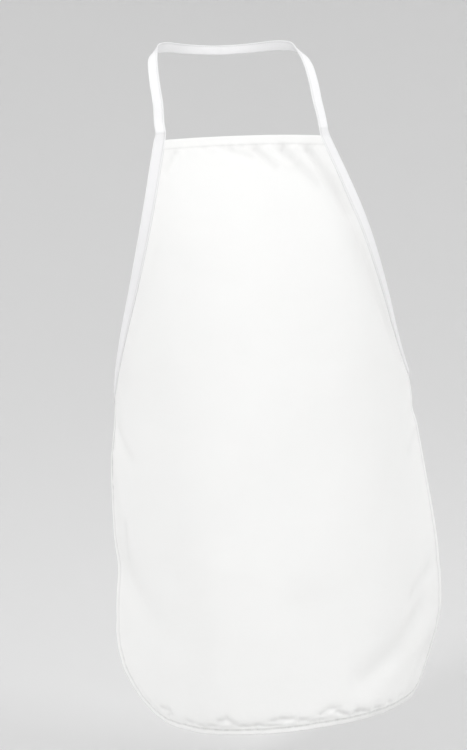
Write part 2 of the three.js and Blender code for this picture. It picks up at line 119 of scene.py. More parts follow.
# Puckers that the skirt hem's seam draws up, in the same columns as the wrinkles.
PUCKERS = np.array(
    [
        (-193, 691.5, -176, 691, 3.4, -2.2), (-176, 691, -173, 695, 3.1, -2.0),
        (-173, 695, -181, 698, 2.9, -1.3), (-147, 699.5, -136, 700.5, 2.9, -1.4),
        (-127, 702, -119, 703, 2.6, -1.2), (-115, 701.5, -107, 701, 2.6, -1.4),
        (-101, 694, -91, 691.5, 3.4, -1.8), (-91, 691.5, -81, 698.5, 3.4, -1.8),
        (-76, 701, -64, 701.5, 2.7, -1.7), (-60, 701, -53, 699.5, 2.7, -1.6),
        (-53, 699.5, -47, 702, 2.6, -1.4), (-42, 702, -31, 703, 2.6, -1.3),
        (-38, 696, -27, 694.5, 3.1, -1.5), (-27, 694.5, -13, 695.5, 3.4, -1.9),
        (-5, 698.5, 5, 699, 3.1, -1.6), (9, 702, 14, 703, 2.6, -1.3),
        (22, 695, 33, 689.5, 3.1, -1.6), (33, 689.5, 45, 690.5, 3.4, -1.9),
        (43, 694.5, 50, 698, 2.9, -2.0), (50, 698, 59, 703, 2.9, -2.0),
        (20, 702, 27, 703, 2.6, -1.1), (68, 699.5, 78, 700.5, 3.4, -2.2),
        (78, 700.5, 86, 703.5, 2.9, -1.6), (98, 702, 106, 703, 2.7, -1.6),
        (119, 699, 127, 701, 2.7, -0.9), (141, 699, 150, 698, 2.7, -1.0),
        (-92, 699, -97, 702, 3.1, 0.8), (36, 697, 43, 702, 3.4, 0.8),
        (-22, 700, -12, 701, 2.9, 0.6), (63, 696, 60, 700, 3.1, 0.6),
    ]
)

# Half of the neck tape, from the bib's corner to the middle of the back: side is a share of its
# reach at the bib, forward of the body's depth and drop of the rise; heading and lean are the
# degrees of its width direction.
NECK_PATH = np.array(
    [
        (0.974, 0.655, 0.847, 14, 0), (0.962, 0.604, 0.680, 10, 0), (0.966, 0.533, 0.500, 5, 4),
        (0.957, 0.442, 0.313, 0, 16), (0.930, 0.360, 0.190, 0, 34), (0.860, 0.270, 0.090, 20, 56),
        (0.690, 0.158, 0.030, 45, 74), (0.460, 0.062, 0.008, 65, 84), (0.230, 0.014, 0.000, 80, 90),
    ]
)
# A waist tie: the share of the sideways step that is left, of the step back and of the sink.
TIE_PATH = np.array(
    [(0.995, 0.35, 0.95), (0.93, 0.63, 1.2), (0.80, 0.83, 1.05), (0.55, 0.96, 0.7), (0.28, 1.0, 0.3)]
)
# A tail below the knot: shares of its spread and length, and metres back.
TAIL_PATH = np.array([(1.0, 0.0, 0.0), (1.25, 0.12, 0.002), (2.1, 0.5, 0.005), (2.6, 1.0, 0.003)])


def linear(code):
    """An sRGB hex colour as linear red, green and blue."""
    parts = np.array([int(code[k : k + 2], 16) for k in (0, 2, 4)]) / 255
    return tuple(np.where(parts <= 0.04045, parts / 12.92, ((parts + 0.055) / 1.055) ** 2.4))


def length_prop(name, default, text):
    """A length in metres that a user can change."""
    return FloatProperty(name=name, description=text, default=default, unit="LENGTH", precision=4)


def colour_prop(name, code, text):
    """A colour that a user can change, given as an sRGB hex value."""
    return FloatVectorProperty(name=name, description=text, subtype="COLOR", default=linear(code))


class ApronSizes(bpy.types.PropertyGroup):
    """Sizes of the flat cloth, the tape and the hanging shape."""

    cloth_length: length_prop("Cloth length", 0.711, "Bib's top edge to the bottom edge")
    skirt_width: length_prop("Skirt width", 0.560, "Width of the skirt laid flat")
    bib_width: length_prop("Bib width", 0.221, "Width of the bib's top edge")
    tie_drop: length_prop("Tie drop", 0.290, "Bib's top edge to the tie corners")
    corner_radius: length_prop("Corner radius", 0.104, "Radius of the skirt's lower corners")
    cloth_thickness: length_prop("Cloth thickness", 0.0005, "Thickness of the woven cloth")
    bib_hem: length_prop("Bib hem", 0.012, "Depth of the hem at the bib's top")
    skirt_hem: length_prop("Skirt hem", 0.0065, "Depth of the hem round the skirt")
    tape_width: length_prop("Tape width", 0.0127, "Width of the folded tape")
    tape_thickness: length_prop("Tape thickness", 0.0018, "Thickness of the folded tape")
    stitch_pitch: length_prop("Stitch pitch", 0.0028, "Length of one lockstitch")
    thread: length_prop("Thread", 0.00036, "Thickness of the sewing thread")
    body_depth: length_prop("Body depth", 0.197, "Back of the neck tape to the front of the skirt")
    strap_rise: length_prop("Strap rise", 0.150, "Bib's top edge to the top of the neck tape")
    back_depth: length_prop("Back depth", 0.048, "Neck tape to the knot behind it")
    knot_rise: length_prop("Knot rise", 0.004, "Knot above the tie corners")
    knot_width: length_prop("Knot width", 0.032, "Width of the knot")
    knot_height: length_prop("Knot height", 0.022, "Height of the knot")
    knot_depth: length_prop("Knot depth", 0.015, "Depth of the knot")
    tie_sink: length_prop("Tie sink", 0.014, "How far a tie sinks on its way round")
    tail_length: length_prop("Tail length", 0.250, "Length of a free tie end")
    tail_spread: length_prop("Tail spread", 0.008, "Half the distance between the tails at the knot")


class ApronColours(bpy.types.PropertyGroup):
    """Colours of the cloth, the tape, the thread and the studio."""

    cloth: colour_prop("Cloth", "F9F9F8", "Bleached cloth")
    tape: colour_prop("Tape", "F4F4F5", "Bleached tape")
    thread: colour_prop("Thread", "EFEFEE", "White sewing thread")
    floor: colour_prop("Floor", "DADADA", "Pale studio floor")


def sizes():
    """The apron's sizes, as set in the panel."""
    return bpy.context.scene.apron_sizes


def colours():
    """The apron's colours, as set in the panel."""
    return bpy.context.scene.apron_colours


def unit(vectors):
    """Vectors divided by their lengths."""
    return vectors / np.linalg.norm(vectors, axis=-1, keepdims=True)


def distance_along(points):
    """The distance of each point of a polyline from its start."""
    return np.concatenate([[0], np.cumsum(np.linalg.norm(np.diff(points, axis=0), axis=1))])


def bell(x, half_width):
    """1 in the middle, falling as the exponential of minus the square of x over its half width."""
    return np.exp(-((x / half_width) ** 2))


def step_down(x, softness):
    """From 1 to 0 as x passes zero, the logistic curve."""
    return 1 / (1 + np.exp(x / softness))


# Surfaces of the cloth


def column(name, level):
    """One column of the drape table at any level: a cubic between rows, with averaged slopes."""
    x, y = DRAPE["drop"], DRAPE[name]
    slope = np.gradient(y, x)
    i = np.clip(np.searchsorted(x, level) - 1, 0, len(x) - 2)
    h = x[i + 1] - x[i]
    u = np.clip((level - x[i]) / h, 0, 1)
    ends = (1 + 2 * u) * (1 - u) ** 2 * y[i] + u * u * (3 - 2 * u) * y[i + 1]
    return ends + u * (1 - u) ** 2 * h * slope[i] + u * u * (u - 1) * h * slope[i + 1]


def drape(s, v):
    """The cloth without folds: each level is a curve whose turn grows with the distance from the
    middle, wrap times 96 degrees at 240 mm, less a flare that opens the sides again."""
    z = sizes()
    level = v / z.cloth_length
    half = z.skirt_width / 2
    wrap = np.where(s < 0, column("wrap_left", level), column("wrap_right", level))[..., None]
    flare = np.where(s < 0, column("flare_left", level), column("flare_right", level))[..., None]
    steps = (np.arange(24) + 0.5) / 24
    at = np.abs(s)[..., None] * steps
    share = at / WRAP_REACH
    turn = WRAP_TURN * share**1.3 / (1 + 0.08 * share**4)
    opening = np.clip((at / half - FLARE_START) / (1 - FLARE_START), 0, 1.2) ** 2
    angle = wrap * turn - np.radians(flare) * opening
    x = np.cos(angle).mean(-1) * s + column("sideways", level) * half
    y = np.sin(angle).mean(-1) * np.abs(s) - column("forward", level) * z.body_depth
    return np.stack([x, y, -z.strap_rise - v], -1)


def front_normal(surface, s, v, step=0.0015):
    """The surface's normal towards the front: the cross product of its slopes down and across."""
    across = surface(s + step, v) - surface(s - step, v)
    down = surface(s, v + step) - surface(s, v - step)
    return unit(np.cross(down, across))


def creases(rows, s, v):
    """Bells across short lines, each 35% lower at its second end and fading out past both. Where
    lines meet, the deepest valley and the tallest ridge count, not the sum."""
    valley = np.zeros(np.broadcast(s, v).shape)
    ridge = valley.copy()
    for s0, v0, s1, v1, width, tall in rows:
        ds, dv = s1 - s0, v1 - v0
        along = np.clip(((s - s0) * ds + (v - v0) * dv) / (ds * ds + dv * dv), 0, 1)
        away = np.hypot(s - s0 - ds * along, v - v0 - dv * along)
        height = tall * bell(away, width) * (1 - 0.35 * along)
        valley = np.minimum(valley, height)
        ridge = np.maximum(ridge, height)
    return valley + ridge


def ripple(along, wave, seed, count=7):
    """A smooth random line: a sum of sines whose waves are spread round one length."""
    rng = np.random.default_rng(seed)
    waves = wave * rng.uniform(0.6, 1.7, count)
    phases = rng.uniform(0, 2 * math.pi, count)
    along = np.asarray(along)[..., None]
    return np.sin(2 * math.pi * along / waves + phases).mean(-1) * math.sqrt(2)


def swell(s, v, seed=4, count=12):
    """Soft random undulation of limp cloth: a sum of plane waves 70 to 190 mm long."""
    rng = np.random.default_rng(seed)
    height = np.zeros(np.broadcast(s, v).shape)
    for _ in range(count):
        wave = rng.uniform(0.07, 0.19)
        angle = rng.uniform(-0.9, 0.9)
        phase = rng.uniform(0, 2 * math.pi)
        height += wave * np.sin(2 * math.pi * (s * math.cos(angle) + v * math.sin(angle)) / wave + phase)
    return height / count / 0.13


def skirt_edge(s, v):
    """Depth inside the skirt's rounded outline, the place along it from the bottom's middle, and
    how far that edge faces down, from 0 to 1."""
    z = sizes()
    radius = z.corner_radius
    qs = np.abs(s) - (z.skirt_width / 2 - radius)
    qv = v - (z.cloth_length - radius)
    outside = np.hypot(np.maximum(qs, 0), np.maximum(qv, 0)) + np.minimum(np.maximum(qs, qv), 0)
    angle = np.arctan2(np.maximum(qs, 0), np.maximum(qv, 1e-9))
    straight = z.skirt_width / 2 - radius
    along = np.where(qs > 0, straight + radius * angle + np.maximum(-qv, 0), np.abs(s))
    return radius - outside, along * np.sign(s), np.where(qv > 0, np.cos(angle), 0.0)


def skirt_seam():
    """The skirt seam's distance from the edge: 1.5 mm less than the hem."""
    return sizes().skirt_hem - 0.0015


def bib_seam():
    """The bib seam's distance from the top edge: 1.2 mm less than the hem."""
    return sizes().bib_hem - 0.0012


def arm_depth(s, v):
    """Distance inside the arm curve, from the sideways gap times the cosine of the curve's slant."""
    at, along = arm_curve(np.linspace(0, 1, 60))
    reach = np.interp(v, at[:, 1], at[:, 0])
    slant = np.interp(v, at[:, 1], along[:, 1])
    return (reach - np.abs(s)) * slant


def arm_folds(s, v):
    """Soft valleys beside the bound edges: a narrow bell in a wide one, much deeper on the right."""
    z = sizes()
    depth = arm_depth(s, v)
    level = v / z.tie_drop
    on = np.clip(level / 0.25, 0, 1) * np.clip((1.05 - level) / 0.25, 0, 1)
    centre = 0.019 + 0.007 * level
    valley = np.where(s > 0, -0.0026, -0.0008) * on * bell(depth - centre, 0.009)
    wide = np.where(s > 0, -0.0028, 0.0) * on * bell(depth - 0.030, 0.020)
    return valley + wide


def below_ties(v):
    """From 0 at the tie corners to 1 a little below them: where the skirt has its hem."""
    return np.clip((v - sizes().tie_drop) / 0.03, 0, 1)


def seam_profile(s, v):
    """Where the hems' seams draw the cloth in, from 0 to 1: a narrow bell across each seam, whose
    strength wavers along it. It is strongest on the left side, 385 mm below the bib's top."""
    depth, along, bottom = skirt_edge(s, v)
    drawn = np.where(s < 0, 0.9, 0.0) * bell(v - 0.385, 0.05)
    skirt = bell(depth - skirt_seam(), 0.0012 + 0.0013 * drawn) * (0.42 + 0.45 * bottom + drawn)
    skirt = skirt * (0.9 + (0.45 + drawn) * ripple(along, 0.010, 15))
    bib = bell(v - bib_seam(), 0.0011) * (0.18 + 0.10 * ripple(s, 0.010, 16))
    return np.clip(below_ties(v) * skirt + bib, 0, 1.3)


def broad_relief(s, v):
    """Height of folds, wrinkles and the soft swell over the plain drape, in metres."""
    z = sizes()
    half = z.skirt_width / 2
    rows = FOLDS * np.array([half, z.cloth_length, half, z.cloth_length, 1, 1])
    height = creases(rows, s, v) + creases(WRINKLES * 0.001, s, v) + arm_folds(s, v)
    return height + 0.0011 * swell(s, v) * np.clip((v - 0.02) / 0.2, 0.15, 1)


# Heights in metres: the step of a hem's second layer, a seam's groove, and how far the skirt's
# edge curls back at its sides and, more, at its bottom.
HEM_STEP = 0.0005
SEAM_GROOVE = 0.0009
EDGE_CURL = (0.0004, 0.0042)


def relief(s, v):
    """The broad relief with puckers, hem steps and seam grooves, the skirt's edge that curls back
    and the ripples that its seam draws up."""
    z = sizes()
    height = broad_relief(s, v) + creases(PUCKERS * 0.001, s, v)
    depth, along, bottom = skirt_edge(s, v)
    low = below_ties(v)
    height += low * HEM_STEP * step_down(depth - z.skirt_hem, 0.0006)
    height -= low * (EDGE_CURL[0] + EDGE_CURL[1] * bottom) * bell(depth, 0.012)
    height -= SEAM_GROOVE * seam_profile(s, v)
    strong = low * np.clip((v - 0.50) / 0.15, 0.35, 1)
    height += strong * 0.0007 * ripple(along, 0.012, 11) * bell(depth - z.skirt_hem - 0.002, 0.0042)
    height += strong * 0.0006 * ripple(along, 0.031, 12) * bell(depth, 0.016)
    height += HEM_STEP * step_down(v - z.bib_hem, 0.0006)
    height += 0.0004 * ripple(s, 0.016, 13) * bell(v - z.bib_hem - 0.003, 0.004)
    return height


# The valley depths in metres that give full painted shade.
FULL_PUCKER = 0.0052
FULL_WRINKLE = 0.0075
FULL_ARM_FOLD = 0.026


def painted_crease_shade(s, v):
    """Painted shade for the cloth's colour, from 0 to 1, darker in creases and seams where less light
    comes out: the seams' profile and each valley's depth over the depth that counts as full, plus painted
    shade on the rim that curls under at the bottom, on the right half."""
    pinched = np.maximum(-creases(PUCKERS * 0.001, s, v), 0) / FULL_PUCKER
    wrinkled = np.maximum(-creases(WRINKLES * 0.001, s, v), 0) / FULL_WRINKLE
    beside = np.maximum(-arm_folds(s, v), 0) / FULL_ARM_FOLD
    depth, _, bottom = skirt_edge(s, v)
    # Painted shade on the bottom rim as it curls under, on the right half only.
    rim = 0.42 * bottom * np.clip(s / 0.08, 0, 1) * bell(depth, 0.0045)
    return np.clip(seam_profile(s, v) + pinched + wrinkled + beside + rim, 0, 1)


def cloth(s, v):
    """The cloth's middle surface: the drape moved along its normal by the relief."""
    return drape(s, v) + front_normal(drape, s, v) * relief(s, v)[..., None]


def smooth_cloth(s, v):
    """The cloth for pieces sewn on it: the drape moved along its normal by the broad relief."""
    return drape(s, v) + front_normal(drape, s, v) * broad_relief(s, v)[..., None]


# The flat outline


def arm_curve(t):
    """The right arm curve, a cubic from the bib's corner to the tie corner, and its direction."""
    z = sizes()
    bib, half = z.bib_width / 2, z.skirt_width / 2
    step = half - bib
    points = np.array(
        [
            (bib, 0),
            (bib + 0.234 * step, 0.412 * z.tie_drop),
            (bib + 0.464 * step, 0.824 * z.tie_drop),
            (half, z.tie_drop),
        ]
    )
    t = np.asarray(t, float)[..., None]
    weights = [(1 - t) ** 3, 3 * t * (1 - t) ** 2, 3 * t * t * (1 - t), t**3]
    slopes = [-3 * (1 - t) ** 2, 3 * (1 - t) * (1 - 3 * t), 3 * t * (2 - 3 * t), 3 * t * t]
    at = sum(w * p for w, p in zip(weights, points))
    along = sum(w * p for w, p in zip(slopes, points))
    return at, unit(along)


def even(points, count):
    """Points spaced evenly along a polyline."""
    place = distance_along(points)
    wanted = np.linspace(0, place[-1], count)
    return np.stack([np.interp(wanted, place, points[:, k]) for k in range(points.shape[1])], -1)


def inward(points):
    """Unit vectors to the left of a polyline that runs down the right edge: into the cloth."""
    along = unit(np.gradient(points, axis=0))
    return np.stack([-along[:, 1], along[:, 0]], -1)


def eased_inset(points, start, end, reach=0.035):
    """Inset vectors of one stretch of edge: its normals, leaning to its neighbours' mitres at
    both ends so that insets never cross."""
    normal = inward(points)
    along = np.stack([normal[:, 1], -normal[:, 0]], -1)
    place = distance_along(points)
    lean_start = np.clip(1 - place / reach, 0, 1) * start
    lean_end = np.clip(1 - (place[-1] - place) / reach, 0, 1) * end
    return normal + along * (lean_start + lean_end)[:, None]


def mitre(first, second):
    """The vector whose step along both unit normals is 1."""
    return np.linalg.solve(np.array([first, second]), np.ones(2))


def cloth_outline(across=200, down=142):
    """The whole edge, clockwise from the bib's left corner: points and inset vectors. The side's
    points lie closer together beside the bib, where the wrinkles are fine."""
    z = sizes()
    half, radius = z.skirt_width / 2, z.corner_radius
    arm_count = int(down * 0.55)
    spread = np.linspace(0, 1, arm_count + 1)
    arm = even(arm_curve(np.linspace(0, 1, 400))[0], 2001)
    arm = arm[np.round(2000 * (0.42 * spread + 0.58 * spread**1.8)).astype(int)]
    low = z.cloth_length - radius
    turn = np.linspace(0, math.pi / 2, 61)
    corner = np.stack([half - radius + radius * np.cos(turn), low + radius * np.sin(turn)], -1)
    side = np.concatenate([[(half, z.tie_drop)], corner[:31]])
    side = even(side, down - arm_count + 1)
    bottom = even(np.concatenate([corner[30:], [(0, z.cloth_length)]]), across // 2 + 1)
    top_normal = np.array([0.0, 1.0])
    arm_normal = inward(arm)
    bib_mitre = mitre(top_normal, arm_normal[0])
    tie_mitre = mitre(arm_normal[-1], np.array([-1.0, 0.0]))
    along_start = np.array([arm_normal[0][1], -arm_normal[0][0]])
    along_end = np.array([arm_normal[-1][1], -arm_normal[-1][0]])
    arm_inset = eased_inset(arm, bib_mitre @ along_start, tie_mitre @ along_end)
    side_inset = eased_inset(side, tie_mitre @ np.array([0.0, 1.0]), 0)
    bottom_inset = eased_inset(bottom, 0, 0)
    bottom_inset[-1] = (0, -1)
    side_inset[-1] = bottom_inset[0]
    side_points = np.concatenate([arm, side[1:]])
    side_insets = np.concatenate([arm_inset, side_inset[1:]])
    share = np.linspace(-1, 1, across + 1)[1:-1]
    top = np.stack([share * z.bib_width / 2, np.zeros_like(share)], -1)
    top_inset = np.stack([share * bib_mitre[0], np.ones_like(share)], -1)
    right = np.concatenate([side_points, bottom[1:]])
    right_inset = np.concatenate([side_insets, bottom_inset[1:]])
    flip = np.array([-1.0, 1.0])
    left, left_inset = (right * flip)[:-1][::-1], (right_inset * flip)[:-1][::-1]
    points = np.concatenate([left[-1:], top, right, left[:-1]])
    insets = np.concatenate([left_inset[-1:], top_inset, right_inset, left_inset[:-1]])
    return points, insets, across, down


def filled(loop, across, down):
    """A blend of the four sides of a closed loop over an even grid, and the loop's place in it."""
    top, right = loop[: across + 1], loop[across : across + down + 1]
    bottom = loop[across + down : 2 * across + down + 1][::-1]
    left = np.concatenate([loop[:1], loop[2 * across + down :][::-1]])
    a = np.linspace(0, 1, across + 1)[None, :, None]
    b = ((right[:, 1] - right[0, 1]) / (right[-1, 1] - right[0, 1]))[:, None, None]
    grid = (1 - b) * top[None] + b * bottom[None] + (1 - a) * left[:, None] + a * right[:, None]
    grid = grid - (
        (1 - a) * (1 - b) * top[0] + a * (1 - b) * top[-1] + (1 - a) * b * bottom[0] + a * b * bottom[-1]
    )
    index = np.arange((across + 1) * (down + 1)).reshape(down + 1, across + 1)
    ring = np.concatenate([index[0, :-1], index[:-1, -1], index[-1, :0:-1], index[:0:-1, 0]])
    return grid.reshape(-1, 2), index, ring


# Meshes


def mesh_object(name, points, quads, flat=None, painted_shade=None):
    """A mesh object from arrays of points and quads, with a UV map in metres of flat cloth and a point
    attribute of painted shade that darkens the base colour in creases and seams."""
    mesh = bpy.data.meshes.new(name)
    mesh.vertices.add(len(points))
    mesh.vertices.foreach_set("co", np.asarray(points, np.float32).ravel())
    sides = quads.shape[1]
    mesh.loops.add(quads.size)
    mesh.loops.foreach_set("vertex_index", quads.astype(np.int32).ravel())
    mesh.polygons.add(len(quads))
    mesh.polygons.foreach_set("loop_start", np.arange(0, quads.size, sides, dtype=np.int32))
    mesh.polygons.foreach_set("use_smooth", np.ones(len(quads), bool))
    mesh.update(calc_edges=True)
    mesh.validate()
    if flat is not None:
        layer = mesh.uv_layers.new(name="flat")
        layer.data.foreach_set("uv", np.asarray(flat, np.float32)[quads.ravel()].ravel())
    # Painted shade for the material's base colour, kept as a point attribute.
    if painted_shade is not None:
        depth = mesh.attributes.new(name="painted_shade", type="FLOAT", domain="POINT")
        depth.data.foreach_set("value", np.asarray(painted_shade, np.float32).ravel())
    made = bpy.data.objects.new(name, mesh)
    bpy.context.collection.objects.link(made)
    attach(made, "root")
    return made


def sleeve(name, rings, flat=None, painted_shade=None, closed=False):
    """A closed skin over rings of points: stations along, each a closed section, with its ends
    filled by quads that pair the section's two sides."""
    stations, count = rings.shape[:2]
    index = np.arange(stations * count).reshape(stations, count)
    ahead = np.roll(index, -1, axis=0) if closed else index[1:]
    here = index if closed else index[:-1]
    quads = np.stack([here, np.roll(here, -1, 1), np.roll(ahead, -1, 1), ahead], -1).reshape(-1, 4)
    if not closed:
        k = np.arange(count // 2 - 1)
        cap = np.stack([k, k + 1, count - 2 - k, count - 1 - k], -1)
        quads = np.concatenate([quads, cap[:, ::-1], cap + index[-1, 0]])
    points = rings.reshape(-1, 3)
    if volume(points, quads) < 0:
        quads = quads[:, ::-1]
    if painted_shade is not None:
        painted_shade = np.broadcast_to(painted_shade, rings.shape[:2])
    return mesh_object(name, points, quads, flat, painted_shade)


def flat_grid(across, along):
    """Places on the flat map: a row of distances across for each distance along."""
    return np.stack(np.broadcast_arrays(across[None], along[:, None]), -1).reshape(-1, 2)


def volume(points, quads):
    """Signed volume of a closed quad mesh: a sixth of the sum of its triangles' triple products."""
    a, b, c, d = (points[quads[:, k]] for k in range(4))
    return (np.einsum("ij,ij->i", a, np.cross(b, c)) + np.einsum("ij,ij->i", a, np.cross(c, d))).sum() / 6


# Materials

MULTIPLY_COLOURS = {"data_type": "RGBA", "blend_type": "MULTIPLY"}


def node(tree, kind, settings=None, **links):
    """Adds one node with its settings, inputs set to values or linked from other sockets."""
    made = tree.nodes.new(kind)
    for key, value in (settings or {}).items():
        setattr(made, key, value)
    for key, value in links.items():
        socket = made.inputs[int(key[1:])] if key[0] == "i" and key[1:].isdigit() else made.inputs[key]
        if isinstance(value, bpy.types.NodeSocket):
            tree.links.new(value, socket)
        else:
            socket.default_value = value
    return made


def new_material(name):
    """A material with its node tree and its main shader."""
    material = bpy.data.materials.new(name)
    material.use_nodes = True
    tree = material.node_tree
    shader = tree.nodes["Principled BSDF"]
    return material, tree, shader


def woven(name, colour, thread_mm, ribs, bump, mottle, sheen):
    """Bleached woven poly-cotton: threads over and under each other as a product of two waves on the flat
    map, slubs as stretched noise and a faint cloudiness from washing, with painted shade from the mesh's
    painted_shade attribute darkening creases, seams and turned edges. Matte, with the soft sheen of
    cotton fuzz."""
    material, tree, shader = new_material(name)
    flat = node(tree, "ShaderNodeUVMap", {"uv_map": "flat"})
    scale = 2 * math.pi / (thread_mm * 0.001)
    place = node(tree, "ShaderNodeSeparateXYZ", i0=flat.outputs[0])
    times = {"operation": "MULTIPLY"}
    warp = node(tree, "ShaderNodeMath", times, i0=place.outputs[0], i1=scale)
    weft = node(tree, "ShaderNodeMath", times, i0=place.outputs[1], i1=scale * ribs)
    over = node(tree, "ShaderNodeMath", {"operation": "SINE"}, i0=warp.outputs[0])
    under = node(tree, "ShaderNodeMath", {"operation": "SINE"}, i0=weft.outputs[0])
    weave = node(tree, "ShaderNodeMath", times, i0=over.outputs[0], i1=under.outputs[0])
    stretch = node(tree, "ShaderNodeMapping", i0=flat.outputs[0], i3=(900.0, 160.0, 1.0))
    flat_noise = {"noise_dimensions": "2D"}
    slub = node(tree, "ShaderNodeTexNoise", flat_noise, Vector=stretch.outputs[0], Scale=1.0, Detail=2.0)
    rough = node(tree, "ShaderNodeMath", {"operation": "MULTIPLY_ADD"}, i0=slub.outputs[0], i1=1.4,
                 i2=weave.outputs[0])
    crumple = node(tree, "ShaderNodeTexNoise", flat_noise, Vector=flat.outputs[0], Scale=24.0, Detail=3.0,
                   Roughness=0.5)
    raised = node(tree, "ShaderNodeBump", Strength=0.22, Distance=0.0035, Height=crumple.outputs[0])
    threads = node(tree, "ShaderNodeBump", Strength=bump, Distance=0.00018, Height=rough.outputs[0],
                   Normal=raised.outputs[0])
    cloud = node(tree, "ShaderNodeTexNoise", flat_noise, Vector=flat.outputs[0], Scale=9.0, Detail=2.0)
    worn = 1.0 - mottle
    shade = node(tree, "ShaderNodeMapRange", i0=cloud.outputs[0], i1=0.3, i2=0.7, i3=worn, i4=1.0)
    fleck = node(tree, "ShaderNodeMapRange", i0=rough.outputs[0], i1=-1.0, i2=2.0, i3=worn, i4=1.0)
    clean = node(tree, "ShaderNodeMath", times, i0=shade.outputs[0], i1=fleck.outputs[0])
    # Painted shade: the mesh's painted_shade attribute darkens the base colour by up to 28% in creases,
    # seams and turned edges.
    painted_shade = node(tree, "ShaderNodeAttribute", {"attribute_name": "painted_shade"})
    dim = node(tree, "ShaderNodeMapRange", i0=painted_shade.outputs["Fac"], i1=0.0, i2=1.0, i3=1.0, i4=0.72)
    both = node(tree, "ShaderNodeMath", times, i0=clean.outputs[0], i1=dim.outputs[0])
    tint = node(tree, "ShaderNodeMix", MULTIPLY_COLOURS, i0=1.0, i6=(*colour, 1.0), i7=both.outputs[0])
    tree.links.new(tint.outputs[2], shader.inputs["Base Color"])
    tree.links.new(threads.outputs[0], shader.inputs["Normal"])
    shader.inputs["Roughness"].default_value = 0.9
    shader.inputs["Specular IOR Level"].default_value = 0.3
    shader.inputs["IOR"].default_value = 1.5
    shader.inputs["Sheen Weight"].default_value = sheen
    shader.inputs["Sheen Roughness"].default_value = 0.5
    return material


def spun_thread(name, colour):
    """Spun polyester sewing thread: two plies twisted together, a slight gloss on the twist."""
    material, tree, shader = new_material(name)
    flat = node(tree, "ShaderNodeUVMap", {"uv_map": "flat"})
    twist = node(tree, "ShaderNodeTexWave", {"bands_direction": "DIAGONAL"}, Vector=flat.outputs[0],
                 Scale=600.0, Distortion=0.5)
    bump = node(tree, "ShaderNodeBump", Strength=0.4, Distance=0.00005, Height=twist.outputs["Fac"])
    shade = node(tree, "ShaderNodeMapRange", i0=twist.outputs["Fac"], i3=0.93, i4=1.0)
    tint = node(tree, "ShaderNodeMix", MULTIPLY_COLOURS, i0=1.0, i6=(*colour, 1.0), i7=shade.outputs[0])
    tree.links.new(tint.outputs[2], shader.inputs["Base Color"])
    tree.links.new(bump.outputs[0], shader.inputs["Normal"])
    shader.inputs["Roughness"].default_value = 0.55
    shader.inputs["IOR"].default_value = 1.54
    return material


def finish_material(kind):
    """The one material of each kind, made when it is first asked for."""
    found = bpy.data.materials.get(kind)
    if found:
        return found
    shade = colours()
    if kind == "woven_poly_cotton":
        # Threads are drawn 1.0 mm apart: the real 0.45 mm would be too fine for the picture.
        return woven(kind, tuple(shade.cloth), 1.0, 1.0, 0.35, 0.012, 0.12)
    if kind == "folded_cotton_tape":
        # A ribbed tape: fine threads along it, coarser ones across.
        return woven(kind, tuple(shade.tape), 0.9, 0.6, 0.35, 0.012, 0.15)
    if kind == "spun_polyester_thread":
        return spun_thread(kind, tuple(shade.thread))
    raise RuntimeError("there is no finish named " + kind)


def dress(made, kind, slot_name, *nodes):
    """Gives a piece its material and hides the frame's solids it stands for. The slot name is not used.
    """
    made.data.materials.append(finish_material(kind))
    if nodes:
        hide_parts(*nodes)
    return made


# Stitches


def stitch_row(points, normals, pitch, thick, gap_share=0.22):
    """One row of lockstitches as small arched threads: arrays of points, quads and flat places.
    Each has five rings of five points along its length and dips into the cloth at both ends."""
    place = distance_along(points)
    count = max(int(place[-1] / pitch), 1)
    centre = (np.arange(count) + 0.5) * place[-1] / count
    half = pitch * (1 - gap_share) / 2
    u = np.array([-1.0, -0.55, 0.0, 0.55, 1.0])
    wanted = centre[:, None] + u * half
    at = np.stack([np.interp(wanted, place, points[:, k]) for k in range(3)], -1)
    out = unit(np.stack([np.interp(wanted, place, normals[:, k]) for k in range(3)], -1))
    along = unit(at[:, -1:] - at[:, :1])
    across = unit(np.cross(along, out))
    arch = np.array([-0.55, 0.1, 0.3, 0.1, -0.55]) * thick
    girth = np.array([0.55, 1.0, 1.0, 1.0, 0.55]) * thick / 2
    turn = np.arange(5) * 2 * math.pi / 5
    ring = (
        np.cos(turn)[None, None, :, None] * across[:, :, None, :] * 1.25
        + np.sin(turn)[None, None, :, None] * out[:, :, None, :]
    )
    skin = (at + out * arch[None, :, None])[:, :, None, :] + ring * girth[None, :, None, None]
    index = np.arange(count * 25).reshape(count, 5, 5)
    here, ahead = index[:, :-1], index[:, 1:]
    quads = np.stack([here, np.roll(here, -1, 2), np.roll(ahead, -1, 2), ahead], -1).reshape(-1, 4)
    flat = np.stack(
        [
            np.broadcast_to(wanted[:, :, None], (count, 5, 5)),
            np.broadcast_to(np.arange(5) * thick * 0.63, (count, 5, 5)),
        ],
        -1,
    )
    return skin.reshape(-1, 3), quads, flat.reshape(-1, 2)


def sew(name, rows, slot_name):
    """All stitches of one seam as one piece."""
    z = sizes()
    points, quads, flat, start = [], [], [], 0
    for line, normals in rows:
        p, q, f = stitch_row(line, normals, z.stitch_pitch, z.thread)
        points.append(p)
        quads.append(q + start)
        flat.append(f)
        start += len(p)
    made = mesh_object(name, np.concatenate(points), np.concatenate(quads), np.concatenate(flat))
    bpy.context.view_layer.update()
    return dress(made, "spun_polyester_thread", slot_name)


# Cloth with its turned hems

# Width of the band of rows that follow the edge, and the rows' distances from it, in metres.
EDGE_BAND = 0.022
EDGE_ROWS = 0.001 * np.array(
    [
        20.4, 18.9, 17.5, 16.1, 14.8, 13.5, 12.3, 11.1, 10.0, 9.0,
        8.1, 7.2, 6.4, 5.7, 5.0, 4.2, 3.1, 2.0, 0.9, 0.0,
    ]
)
# How far behind the cloth the hem's turned layer has its stitches, in metres.
HEM_LAYERS = 0.0013


